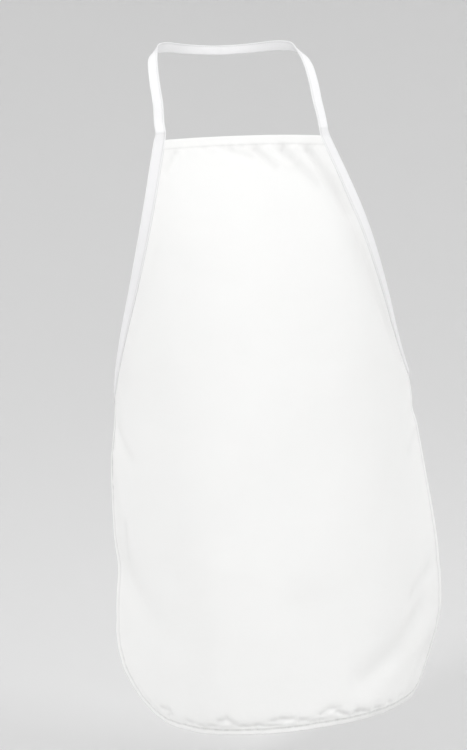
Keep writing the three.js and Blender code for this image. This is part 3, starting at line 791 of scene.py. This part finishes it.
def build_cloth():
    """The cloth as one sheet: an even grid inside, rows that follow the edge and carry the seam
    groove, a round turn at the edge and the hem's turned layer behind."""
    z = sizes()
    points, insets, across, down = cloth_outline()
    inner, index, ring = filled(points + insets * EDGE_BAND, across, down)
    roll = 0.0007
    turns = np.radians([40, 90, 140, 180])
    backs = np.array([0.15, 0.55, 1.0])
    count = len(points)
    bare = (points[:, 1] > 1e-6) & (points[:, 1] < z.tie_drop + 1e-6)
    bib = points[:, 1] <= 1e-6
    hem = np.where(bare, 0.0008, np.where(bib, z.bib_hem, z.skirt_hem))
    radius = np.where(bare, 0.0001, roll)
    flats = [inner] + [points + insets * depth for depth in EDGE_ROWS]
    s = np.concatenate([f[:, 0] for f in flats])
    v = np.concatenate([f[:, 1] for f in flats])
    skin = cloth(s, v)
    edge = skin[-count:]
    edge_normal = front_normal(cloth, points[:, 0], points[:, 1])
    inside = unit(cloth(*(points + insets * 0.002).T) - edge)
    layers = [skin]
    flat = [np.stack([s, v], -1)]
    # Painted shade: the crease shade on the front sheet, and a fixed 0.45 on the round turn and the hem's
    # turned layer.
    painted_shade = [painted_crease_shade(s, v), np.full(count * (len(turns) + len(backs)), 0.45)]
    for turn in turns:
        out = -inside * np.sin(turn) * radius[:, None]
        back = -edge_normal * (1 - np.cos(turn)) * radius[:, None]
        layers.append(edge + out + back)
        flat.append(points - insets * (turn * roll))
    for share in backs:
        place = points + insets * (hem * share)[:, None]
        at = cloth(place[:, 0], place[:, 1])
        normal = front_normal(cloth, place[:, 0], place[:, 1])
        layers.append(at - normal * (2 * radius)[:, None])
        flat.append(points - insets * (0.002 + hem * share)[:, None])
    rows = [ring]
    start = len(inner)
    for _ in range(len(EDGE_ROWS) + len(turns) + len(backs)):
        rows.append(start + np.arange(count))
        start += count
    rows = np.stack(rows)
    band = np.stack([rows[1:], np.roll(rows[1:], -1, 1), np.roll(rows[:-1], -1, 1), rows[:-1]], -1)
    cells = np.stack([index[:-1, :-1], index[:-1, 1:], index[1:, 1:], index[1:, :-1]], -1)
    quads = np.concatenate([cells.reshape(-1, 4), band.reshape(-1, 4)])[:, ::-1]
    arrays = np.concatenate(flat), np.concatenate(painted_shade)
    made = mesh_object("body_cloth", np.concatenate(layers), quads, *arrays)
    wall = made.modifiers.new("cloth_wall", "SOLIDIFY")
    wall.thickness = z.cloth_thickness
    wall.offset = 0
    return dress(made, "woven_poly_cotton", "cloth", "body_panel", "skirt_hem", "bib_hem")


def flat_area():
    """The flat cut's area, by the shoelace formula over its outline."""
    points = cloth_outline()[0]
    x, y = points.T
    return abs(np.dot(x, np.roll(y, -1)) - np.dot(y, np.roll(x, -1))) / 2


def seam_line(side_points, insets, depth, lift):
    """A seam on the cloth at one depth from the edge, on the front or back by the lift's sign."""
    place = side_points + insets * depth
    normal = front_normal(cloth, place[:, 0], place[:, 1])
    face = np.sign(lift)
    return cloth(place[:, 0], place[:, 1]) + normal * lift, normal * face


# Tapes

# The folded tape's section, across in shares of its width from the open edge to the fold and
# through in shares of its thickness: a slit at the open edge, a seam groove beside it.
TAPE_SECTION = np.array(
    [
        (-0.47, 0.02), (-0.5, 0.12), (-0.49, 0.38), (-0.44, 0.47), (-0.385, 0.43), (-0.355, 0.33),
        (-0.325, 0.43), (-0.25, 0.48), (0.0, 0.5), (0.25, 0.49), (0.4, 0.46), (0.47, 0.34),
        (0.497, 0.14), (0.497, -0.14), (0.47, -0.34), (0.4, -0.46), (0.25, -0.49), (0.0, -0.5),
        (-0.25, -0.48), (-0.325, -0.43), (-0.355, -0.33), (-0.385, -0.43), (-0.44, -0.47), (-0.49, -0.38),
        (-0.5, -0.12), (-0.47, -0.02),
    ]
)
SEAM_ACROSS = -0.355
# How much painted shade darkens the tape's colour along its seam groove.
SEAM_PAINTED_SHADE = 0.6


def smooth_path(rows, count):
    """A centripetal Catmull-Rom curve through rows of points, and its places in rows."""
    rows = np.asarray(rows, float)
    padded_rows = np.concatenate([[2 * rows[0] - rows[1]], rows, [2 * rows[-1] - rows[-2]]])
    place = np.linspace(0, len(rows) - 1, count)
    i = np.minimum(place.astype(int), len(rows) - 2)
    u = (place - i)[:, None]
    p0, p1, p2, p3 = (padded_rows[i + k] for k in range(4))
    steps = (p1 - p0, p2 - p1, p3 - p2)
    d0, d1, d2 = (np.linalg.norm(step, axis=1, keepdims=True) ** 0.5 for step in steps)
    m1 = ((p1 - p0) / d0 - (p2 - p0) / (d0 + d1) + (p2 - p1) / d1) * d1
    m2 = ((p2 - p1) / d1 - (p3 - p1) / (d1 + d2) + (p3 - p2) / d2) * d1
    c2, c3 = -3 * p1 + 3 * p2 - 2 * m1 - m2, 2 * p1 - 2 * p2 + m1 + m2
    return p1 + m1 * u + c2 * u * u + c3 * u**3, place


def tape_frame(rows, widths, count):
    """Centres, width directions and faces of a tape whose rows each give a point and a width: the
    width is squared to the path and the face is square to both."""
    centre, place = smooth_path(rows, count)
    along = unit(np.gradient(centre, axis=0))
    widths = np.asarray(widths, float)
    shares = np.arange(len(widths))
    across = np.stack([np.interp(place, shares, widths[:, k]) for k in range(3)], -1)
    across = unit(across - along * np.einsum("ij,ij->i", across, along)[:, None])
    return centre, across, unit(np.cross(along, across))


def tape_skin(name, rows, widths, seed, spacing=0.0028, pinch_start=0.0, pinch_end=0.0):
    """A folded tape along a path: its section carried along, with small waves along its seam
    and an optional gather at either end."""
    z = sizes()
    length = distance_along(smooth_path(rows, 400)[0])[-1]
    count = int(length / spacing)
    centre, across, face = tape_frame(rows, widths, count)
    place = distance_along(centre)
    gather = pinch_start * bell(place, 0.010) + pinch_end * bell(length - place, 0.010)
    width = z.tape_width * (1 - gather) * (1 + 0.012 * ripple(place, 0.02, seed))
    calm = np.clip(np.minimum(place, length - place) / 0.012, 0, 1)
    thick = z.tape_thickness * (1 + 1.6 * gather) * (1 + 0.10 * calm * ripple(place, 0.011, seed + 1))
    a, b = TAPE_SECTION[:, 0], TAPE_SECTION[:, 1]
    curl = 0.00035 * ripple(place, 0.05, seed + 2)[:, None] * (2 * a[None]) ** 2
    fold = gather[:, None] * 0.0016 * np.sin(a[None] * 11)
    rings = (
        centre[:, None]
        + across[:, None] * (a[None] * width[:, None])[..., None]
        + face[:, None] * (b[None] * thick[:, None] + curl + fold)[..., None]
    )
    girth = distance_along(np.stack([a * z.tape_width, b * z.tape_thickness], -1))
    # Painted shade along the tape's seam groove.
    made = sleeve(name, rings, flat_grid(girth, place), SEAM_PAINTED_SHADE * bell(a - SEAM_ACROSS, 0.03)[None])
    groove = centre + across * (SEAM_ACROSS * width)[:, None]
    lift = face * (0.36 * thick)[:, None]
    return made, [(groove + lift, face), (groove - lift, -face)]


# The binding's outer section: shares of the way in from the cloth's edge and heights in metres.
BINDING_SECTION = np.array(
    [
        (1.0, 0.22), (1.01, 0.70), (0.985, 1.05), (0.94, 1.18), (0.885, 1.1), (0.855, 0.92),
        (0.825, 1.1), (0.75, 1.22), (0.5, 1.26), (0.25, 1.26), (0.08, 1.2), (-0.02, 1.0),
        (-0.075, 0.6), (-0.095, 0.15), (-0.095, -0.15), (-0.075, -0.6), (-0.02, -1.0), (0.08, -1.2),
        (0.25, -1.26), (0.5, -1.26), (0.75, -1.22), (0.825, -1.1), (0.855, -0.92), (0.885, -1.1),
        (0.94, -1.18), (0.985, -1.05), (1.01, -0.70), (1.0, -0.22), (0.9, -0.36), (0.5, -0.34),
        (0.1, -0.34), (-0.02, -0.2), (-0.02, 0.2), (0.1, 0.34), (0.5, 0.34), (0.9, 0.36),
    ]
)
BINDING_SEAM = 0.855
# How far a plain tape starts inside the binding's end, in metres.
TAPE_OVERLAP = 0.0025


def binding_stations(side, spacing=0.0026):
    """Points along one arm curve and the inward normals. Above the bib's corner the line bends
    up evenly until it is plumb; past the tie corner it runs straight on."""
    z = sizes()
    at, along = arm_curve(np.linspace(0, 1, 400))
    first, last = along[0], along[-1]
    bend = 0.8 * z.tape_width
    up = np.linspace(bend, 0, 12)[:-1]
    slant = first[0] / first[1]
    head = at[0] + np.stack([-slant * (up - up * up / (2 * bend)), -up], -1)
    tail = at[-1] + last * (z.tape_width * last[1] / last[0])
    line = np.concatenate([head, at, [tail]])
    line = even(line, int(distance_along(line)[-1] / spacing))
    normal = inward(line)
    flip = np.array([side, 1.0])
    return line * flip, normal * flip


def plain_heights():
    """The binding's heights where no cloth is inside: its slot shut, the plain tape's thickness."""
    height = BINDING_SECTION[:, 1]
    outer = np.abs(height) > 0.35
    return np.where(outer, np.sign(height) * np.minimum(np.abs(height) / 2.52, 0.5), height * 0.02)


def build_binding(side):
    """Folded tape round the cloth's edge: its section carried along the arm curve."""
    z = sizes()
    word = "left" if side < 0 else "right"
    line, normal = binding_stations(side)
    place = distance_along(line)
    share, height = BINDING_SECTION[:, 0], BINDING_SECTION[:, 1] * 0.001
    past = np.minimum(place, place[-1] - place)[:, None]
    shut = np.clip(1 - past / (0.8 * z.tape_width), 0, 1)
    shut = shut * shut * (3 - 2 * shut)
    low, high = share.min(), share.max()
    across = share[None] * (1 - shut) + (share - low)[None] / (high - low) * shut
    flat = line[:, None] + normal[:, None] * (across * z.tape_width)[..., None]
    at = smooth_cloth(flat[..., 0], flat[..., 1])
    out = front_normal(smooth_cloth, flat[..., 0], flat[..., 1])
    wave = 1 + 0.10 * (1 - shut) * ripple(place, 0.012, 21 + side)[:, None]
    plain = plain_heights()[None] * z.tape_thickness
    rings = at + out * ((height[None] * (1 - shut) + plain * shut) * wave)[..., None]
    girth = distance_along(np.stack([share * z.tape_width, height], -1))
    # Painted shade along the binding's seam groove.
    painted_shade = SEAM_PAINTED_SHADE * bell(share - BINDING_SEAM, 0.03)[None]
    made = sleeve("binding_" + word, rings, flat_grid(girth, place), painted_shade)
    dress(made, "folded_cotton_tape", "tape", "arm_binding_" + word)
    rows = []
    seam = line + normal * (BINDING_SEAM * z.tape_width)
    base = smooth_cloth(seam[:, 0], seam[:, 1])
    up = front_normal(smooth_cloth, seam[:, 0], seam[:, 1])
    for face in (1, -1):
        rows.append((base + up * face * 0.00096, up * face))
    return made, rows


def binding_end(side, end):
    """The middle of a binding's end, the way it goes on and its outward width direction."""
    z = sizes()
    line, normal = binding_stations(side)
    last, before = (0, 1) if end == "top" else (-1, -2)
    middle = line + normal * (0.5 * z.tape_width)
    pair = middle[[last, before]]
    at = smooth_cloth(pair[:, 0], pair[:, 1])
    along = unit(at[0] - at[1])
    ends = np.array([line[last], line[last] + normal[last] * z.tape_width])
    outer, inner = smooth_cloth(ends[:, 0], ends[:, 1])
    return at[0] - along * TAPE_OVERLAP, along, unit(outer - inner)


def build_neck_tape():
    """The neck tape from the right binding over the shoulder, round the neck and down again."""
    z = sizes()
    reach = (z.bib_width - z.tape_width) / 2
    side, forward, drop, heading, lean = NECK_PATH.T
    heading, lean = np.radians(heading), np.radians(lean)
    right = np.stack([side * reach, -forward * z.body_depth, -drop * z.strap_rise], -1)
    widths = np.stack([np.cos(heading) * np.cos(lean), np.sin(heading) * np.cos(lean), -np.sin(lean)], -1)
    flip = np.array([-1.0, 1.0, 1.0])
    at_r, along_r, out_r = binding_end(1, "top")
    at_l, along_l, out_l = binding_end(-1, "top")
    step = z.tape_width / 4
    left = (right * flip)[::-1]
    rows = [at_r, at_r + along_r * step, *right, np.zeros(3), *left, at_l + along_l * step, at_l]
    wide = [out_r, out_r, *widths, np.array([0, 0, -1.0]), *(widths * flip)[::-1], out_l, out_l]
    made, seams = tape_skin("neck_tape", rows, wide, 31)
    return dress(made, "folded_cotton_tape", "tape", "neck_strap"), seams


def knot_place():
    """The knot's middle: behind the neck tape, a little above the tie corners."""
    z = sizes()
    middle = DRAPE["sideways"][3] * z.skirt_width / 2
    return np.array([middle, z.back_depth, -z.strap_rise - z.tie_drop + z.knot_rise])


def build_tie(side):
    """A waist tie from its corner round the waist to the knot."""
    z = sizes()
    word = "left" if side < 0 else "right"
    at, along, out = binding_end(side, "tie")
    end = knot_place() + np.array([side * z.knot_width * 0.42, 0, 0])
    near = end + np.array([side * z.tape_width, 0, 0])
    left, back, sink = TIE_PATH.T
    path = np.stack(
        [
            end[0] + (at[0] - end[0]) * left,
            at[1] + (end[1] - at[1]) * back,
            at[2] + (end[2] - at[2]) * back - sink * z.tie_sink,
        ],
        -1,
    )
    up = np.array([0, 0, 1.0])
    rows = [at, at + along * z.tape_width / 2, *path, near, end]
    wide = [out, out, *([up] * (len(path) + 2))]
    made, seams = tape_skin("tie_" + word, rows, wide, 41 + side, pinch_end=0.3)
    return dress(made, "folded_cotton_tape", "tape", "waist_tie_" + word), seams


def build_tail(side):
    """A free tie end that hangs from the knot."""
    z = sizes()
    word = "left" if side < 0 else "right"
    centre = knot_place()
    out, down, back = TAIL_PATH.T
    rows = np.stack(
        [
            centre[0] + side * out * z.tail_spread,
            centre[1] + back,
            centre[2] - z.knot_height * 0.40 - down * (z.tail_length + 0.002),
        ],
        -1,
    )
    wide = np.tile([side * 1.0, 0, 0], (len(rows), 1))
    wide[1:, 1] = np.array([0.08, 0.22, 0.12])
    made, seams = tape_skin("tail_" + word, rows, wide, 51 + side, pinch_start=0.3)
    return dress(made, "folded_cotton_tape", "tape", "tie_tail_" + word), seams


def squared(wave):
    """A sine or cosine pushed outwards: its size to the power 0.75, with its sign."""
    return np.sign(wave) * np.abs(wave) ** 0.75


def build_knot():
    """The knot: a pillow of folded tape with a creased face, and the tape that wraps round it
    slantwise as a closed band."""
    z = sizes()
    centre = knot_place()
    u = np.linspace(-1, 1, 41)[:, None]
    turn = np.linspace(0, 2 * math.pi, 49)[None, :-1]
    swell_out = np.clip(1 - np.abs(u) ** 3.2 * 0.55, 0, 1)
    crease = 1 - 0.10 * bell(np.sin(turn + 1.2 * u), 0.22) - 0.06 * bell(np.cos(turn * 2 - u), 0.3)
    body = np.stack(
        [
            centre[0] + u * z.knot_width * 0.47 + 0 * turn,
            centre[1] + squared(np.cos(turn)) * swell_out * crease * z.knot_depth * 0.42,
            centre[2] + squared(np.sin(turn)) * swell_out * crease * z.knot_height * 0.44,
        ],
        -1,
    )
    pillow = sleeve("knot_core", body, flat_grid(turn[0] * 0.007, u[:, 0] * z.knot_width / 2))
    dress(pillow, "folded_cotton_tape", "tape", "tie_knot")
    angle = np.linspace(0, 2 * math.pi, 97)[:-1]
    path = np.stack(
        [
            centre[0] + 0.0035 * np.sin(angle) + 0.001 * np.cos(2 * angle),
            centre[1] + np.cos(angle) * z.knot_depth * 0.49,
            centre[2] + np.sin(angle) * z.knot_height * 0.49,
        ],
        -1,
    )
    out = np.stack([0 * angle, np.cos(angle) / z.knot_depth, np.sin(angle) / z.knot_height], -1)
    out = unit(out)
    across = np.cross(unit(np.roll(path, -1, 0) - np.roll(path, 1, 0)), out)
    a, b = TAPE_SECTION[:, 0], TAPE_SECTION[:, 1]
    wide = z.tape_width * (0.86 + 0.05 * np.sin(3 * angle))
    rings = path[:, None] + across[:, None] * (a[None] * wide[:, None])[..., None]
    crown = b * z.tape_thickness * 0.8 - 0.0008 * (2 * a) ** 2
    rings = rings + out[:, None] * crown[None, :, None]
    band = sleeve("knot_wrap", rings, flat_grid(a * z.tape_width, angle * 0.009), closed=True)
    dress(band, "folded_cotton_tape", "tape")
    return pillow, band


# Studio

# The soft lights: name, place, watts, size in metres and spread in degrees, then what they face.
LIGHTS = (
    ("key_light", (-3.3, -2.6, 2.2), 25.5, 1.0, 110),
    ("fill_light", (3.35, -2.9, 1.95), 24.5, 1.25, 110),
    ("back_light", (0.3, 2.4, 1.9), 2.5, 1.2, 70),
)
LIGHT_AIM = (0, -0.1, -0.8)
AIR_STRENGTH = 0.90
# The photograph's view: where the camera looks, from how far, its angles in degrees sideways, up
# and round its own axis, and its lens in millimetres.
CAMERA_AIM = (-0.032027, -0.13, -0.436964)
CAMERA_DISTANCE = 1.268783
CAMERA_ANGLES = (-9.586, 0.521, 3.965)
CAMERA_LENS = 49.776


def build_floor(middle=(0.0, -1.2, -1.0), flat=1.9, bend=2.5, wall=1.2, cells=120):
    """A round floor that bends up into a low wall: a square grid drawn to a disc, each point's
    share of the disc being its distance along the floor, the quarter bend and the wall."""
    u = np.linspace(-1, 1, cells + 1)
    x, y = np.meshgrid(u, u)
    share = np.maximum(np.abs(x), np.abs(y))
    reach = np.maximum(np.hypot(x, y), 1e-9)
    length = share * (flat + bend * math.pi / 2 + wall)
    turn = np.clip((length - flat) / bend, 0, math.pi / 2)
    radius = np.minimum(length, flat) + bend * np.sin(turn)
    rise = bend * (1 - np.cos(turn)) + np.maximum(length - flat - bend * math.pi / 2, 0)
    points = np.stack([x / reach * radius, y / reach * radius, rise], -1).reshape(-1, 3) + middle
    index = np.arange((cells + 1) ** 2).reshape(cells + 1, cells + 1)
    quads = np.stack([index[:-1, :-1], index[:-1, 1:], index[1:, 1:], index[1:, :-1]], -1).reshape(-1, 4)
    floor = mesh_object("studio_floor", points, quads)
    material, _, shader = new_material("painted_floor")
    shader.inputs["Base Color"].default_value = (*colours().floor, 1)
    shader.inputs["Roughness"].default_value = 0.9
    floor.data.materials.append(material)


# Operators


class APRON_OT_cloth(bpy.types.Operator):
    """Build the cloth with its turned hems and their stitches"""

    bl_idname = "apron.cloth"
    bl_label = "Cloth and Hems"

    def execute(self, context):
        z = sizes()
        body = build_cloth()
        points, insets, across, _ = cloth_outline()
        top = slice(8, across - 7)
        rows = []
        straight = np.tile([0.0, 1.0], (len(points), 1))
        skirt = points[:, 1] > z.tie_drop + 0.016
        first = int(np.argmax(skirt))
        last = len(points) - int(np.argmax(skirt[::-1]))
        run = slice(first, last)
        for lift in (z.cloth_thickness / 2, -z.cloth_thickness / 2 - HEM_LAYERS):
            rows.append(seam_line(points[top], straight[top], bib_seam(), lift))
            rows.append(seam_line(points[run], insets[run], skirt_seam(), lift))
        thread = sew("hem_stitches", rows, "cloth")
        float(flat_area())
        return {"FINISHED"}


class APRON_OT_bindings(bpy.types.Operator):
    """Build the tape bindings of both arm curves and their stitches"""

    bl_idname = "apron.bindings"
    bl_label = "Arm Bindings"

    def execute(self, context):
        for side in (-1, 1):
            _, rows = build_binding(side)
            sew("binding_stitches_" + ("left" if side < 0 else "right"), rows, "tape")
        return {"FINISHED"}


class APRON_OT_neck_tape(bpy.types.Operator):
    """Build the neck tape and its stitches"""

    bl_idname = "apron.neck_tape"
    bl_label = "Neck Tape"

    def execute(self, context):
        _, rows = build_neck_tape()
        sew("neck_stitches", rows, "tape")
        return {"FINISHED"}


class APRON_OT_waist_ties(bpy.types.Operator):
    """Build both waist ties, their tails and the knot"""

    bl_idname = "apron.waist_ties"
    bl_label = "Waist Ties and Knot"

    def execute(self, context):
        rows = []
        for side in (-1, 1):
            rows += build_tie(side)[1]
            rows += build_tail(side)[1]
        sew("tie_stitches", rows, "tape")
        build_knot()
        return {"FINISHED"}


class APRON_OT_studio(bpy.types.Operator):
    """Build the pale floor, the soft lights and the camera"""

    bl_idname = "apron.studio"
    bl_label = "Studio"

    def execute(self, context):
        scene = context.scene
        build_floor()
        world = bpy.data.worlds.new("studio_air")
        world.use_nodes = True
        world.node_tree.nodes["Background"].inputs[0].default_value = (1, 1, 1, 1)
        world.node_tree.nodes["Background"].inputs[1].default_value = AIR_STRENGTH
        scene.world = world
        scene.view_settings.view_transform = "Standard"
        for name, place, power, size, spread in LIGHTS:
            light = bpy.data.lights.new(name, "AREA")
            light.energy = power
            light.size = size
            light.spread = math.radians(spread)
            lamp = bpy.data.objects.new(name, light)
            lamp.location = place
            aim = Vector(LIGHT_AIM) - Vector(place)
            lamp.rotation_euler = aim.to_track_quat("-Z", "Y").to_euler()
            scene.collection.objects.link(lamp)
        camera = bpy.data.cameras.new("photo_camera")
        camera.sensor_width = 36
        camera.lens = CAMERA_LENS
        eye = bpy.data.objects.new("photo_camera", camera)
        azimuth, elevation, roll = (math.radians(angle) for angle in CAMERA_ANGLES)
        level = math.cos(elevation)
        back = Vector((math.sin(azimuth) * level, -math.cos(azimuth) * level, math.sin(elevation)))
        eye.location = Vector(CAMERA_AIM) + back * CAMERA_DISTANCE
        turned = (-back).to_track_quat("-Z", "Y").to_matrix() @ Matrix.Rotation(-roll, 3, "Z")
        eye.rotation_mode = "QUATERNION"
        eye.rotation_quaternion = turned.to_quaternion()
        scene.collection.objects.link(eye)
        scene.camera = eye
        return {"FINISHED"}


class APRON_PT_panel(bpy.types.Panel):
    """Lists the apron's sizes, colours and pieces"""

    bl_idname = "APRON_PT_panel"
    bl_label = "Bib Apron"
    bl_space_type = "VIEW_3D"
    bl_region_type = "UI"
    bl_category = "Apron"

    def draw(self, context):
        layout = self.layout
        for group in (context.scene.apron_sizes, context.scene.apron_colours):
            box = layout.box()
            for name in group.__annotations__:
                box.prop(group, name)
        for operator in OPERATORS:
            layout.operator(operator.bl_idname)


OPERATORS = (
    APRON_OT_cloth,
    APRON_OT_bindings,
    APRON_OT_neck_tape,
    APRON_OT_waist_ties,
    APRON_OT_studio,
)
CLASSES = (ApronSizes, ApronColours, *OPERATORS, APRON_PT_panel)


def register():
    """Makes the panel, the operators and the settings known to Blender."""
    for item in CLASSES:
        bpy.utils.register_class(item)
    bpy.types.Scene.apron_sizes = PointerProperty(type=ApronSizes)
    bpy.types.Scene.apron_colours = PointerProperty(type=ApronColours)


def unregister():
    """Takes them away again."""
    del bpy.types.Scene.apron_colours
    del bpy.types.Scene.apron_sizes
    for item in reversed(CLASSES):
        bpy.utils.unregister_class(item)


def main():
    register()
    bpy.ops.apron.cloth()
    bpy.ops.apron.bindings()
    bpy.ops.apron.neck_tape()
    bpy.ops.apron.waist_ties()
    bpy.ops.apron.studio()


if __name__ == "__main__":
    main()
